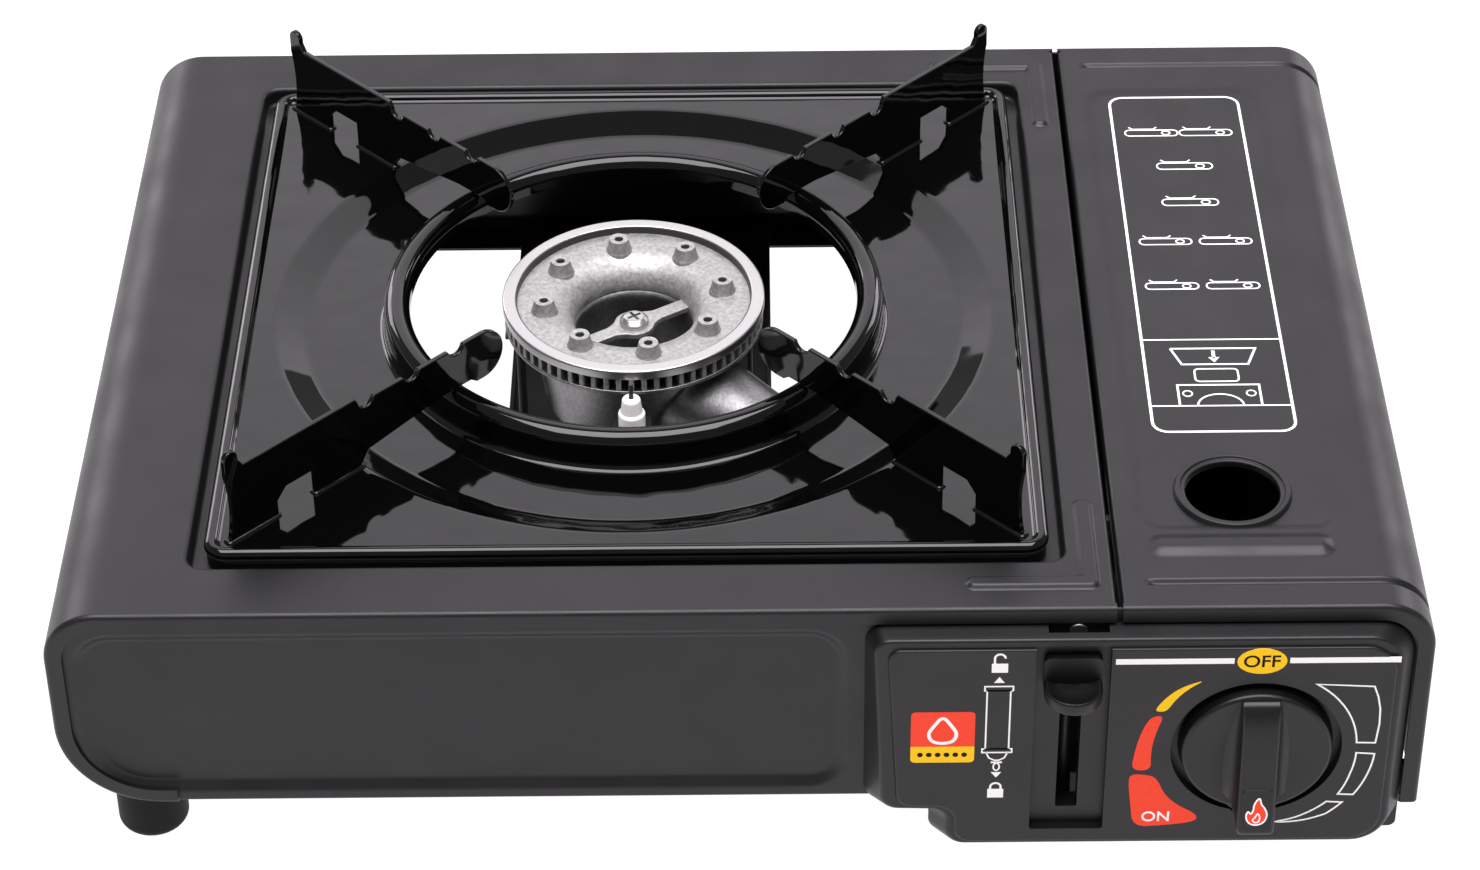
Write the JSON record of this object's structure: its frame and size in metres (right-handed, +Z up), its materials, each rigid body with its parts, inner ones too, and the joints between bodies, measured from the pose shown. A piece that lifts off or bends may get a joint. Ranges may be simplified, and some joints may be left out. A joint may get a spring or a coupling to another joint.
{
  "type": "portable gas grill",
  "caption": "Low boxy portable gas stove: sheet case, lift-off square pan support with notched arms, round cast burner, hinged canister lid, gas knob and sliding canister lock.",
  "frame": {"origin": "centre of the bounding box on the table plane, under the feet", "axes": "+X to the user's right along the front, +Y away from the user, +Z up"},
  "size_m": [0.343, 0.2726, 0.105],
  "materials": {
    "case_paint": "fine matte black powder coat",
    "panel_plastic": "satin black",
    "knob_plastic": "satin black",
    "inlay": "smooth black",
    "enamel": "glossy black vitreous enamel",
    "burner_casting": "die cast, face machined",
    "zinc_casting": "die cast",
    "plated_steel": "zinc plated",
    "dark_steel": "satin dark coat",
    "pipe_metal": "drawn tube",
    "brass": "turned",
    "ceramic": "glazed white ceramic",
    "piezo_plastic": "moulded",
    "rubber": "matte"
  },
  "bodies": {
    "case": {"body_shell": "case_paint", "front_panel": "case_paint", "rear_panel": "case_paint", "partition_wall": "case_paint", "bay_tray": "case_paint", "control_panel": "panel_plastic", "burner_bracket": "dark_steel", "burner_body": "burner_casting", "burner_cap": "burner_casting", "burner_screw": "plated_steel", "igniter_bracket": "dark_steel", "igniter_ceramic": "ceramic", "igniter_electrode": "plated_steel", "gas_jet": "brass", "gas_pipe": "pipe_metal", "regulator_bracket": "plated_steel", "regulator_body": "zinc_casting", "regulator_cover": "zinc_casting", "regulator_screws": "plated_steel", "canister_socket": "brass", "socket_seal": "rubber", "carrier_rods": "plated_steel", "piezo_unit": "piezo_plastic", "lever_guide": "plated_steel", "lever_rod": "plated_steel", "panel_screw": "plated_steel", "front_left_foot": "rubber", "rear_left_foot": "rubber", "front_right_foot": "rubber", "rear_right_foot": "rubber", "foot_screws": "plated_steel", "front_hinge_bracket": "dark_steel", "rear_hinge_bracket": "dark_steel", "hinge_pins": "plated_steel"},
    "lid": {"canister_lid": "case_paint", "lid_hinge_ears": "dark_steel"},
    "knob": {"gas_knob": "knob_plastic", "knob_inlay": "inlay", "valve_spindle": "brass"},
    "lever": {"lock_lever": "knob_plastic", "lever_slider": "plated_steel", "lever_pin": "plated_steel"},
    "carrier": {"canister_carrier": "plated_steel"},
    "pan": {"drip_pan": "enamel", "front_left_arm": "enamel", "front_right_arm": "enamel", "rear_left_arm": "enamel", "rear_right_arm": "enamel"}
  },
  "joints": [
    {"name": "lid_hinge", "type": "hinge", "parent": "case", "child": "lid", "pos_m": [0.1685, 0, 0.0135], "axis": [0, 1, 0], "range_deg": [0, 95]},
    {"name": "knob_turn", "type": "hinge", "parent": "case", "child": "knob", "pos_m": [0.1284, -0.13, 0.0374], "axis": [0, -1, 0], "range_deg": [0, 130]},
    {"name": "lever_slide", "type": "slide", "parent": "case", "child": "lever", "axis": [0, 0, -1], "range_m": [0, 0.036]},
    {"name": "carrier_slide", "type": "slide", "parent": "case", "child": "carrier", "axis": [0, -1, 0], "range_m": [0, 0.008]},
    {"name": "pan_lift", "type": "slide", "parent": "case", "child": "pan", "axis": [0, 0, 1], "range_m": [0, 0.12]}
  ],
  "couplings": [
    {"joint": "carrier_slide", "follows": "lever_slide", "ratio": 0.22222}
  ]
}
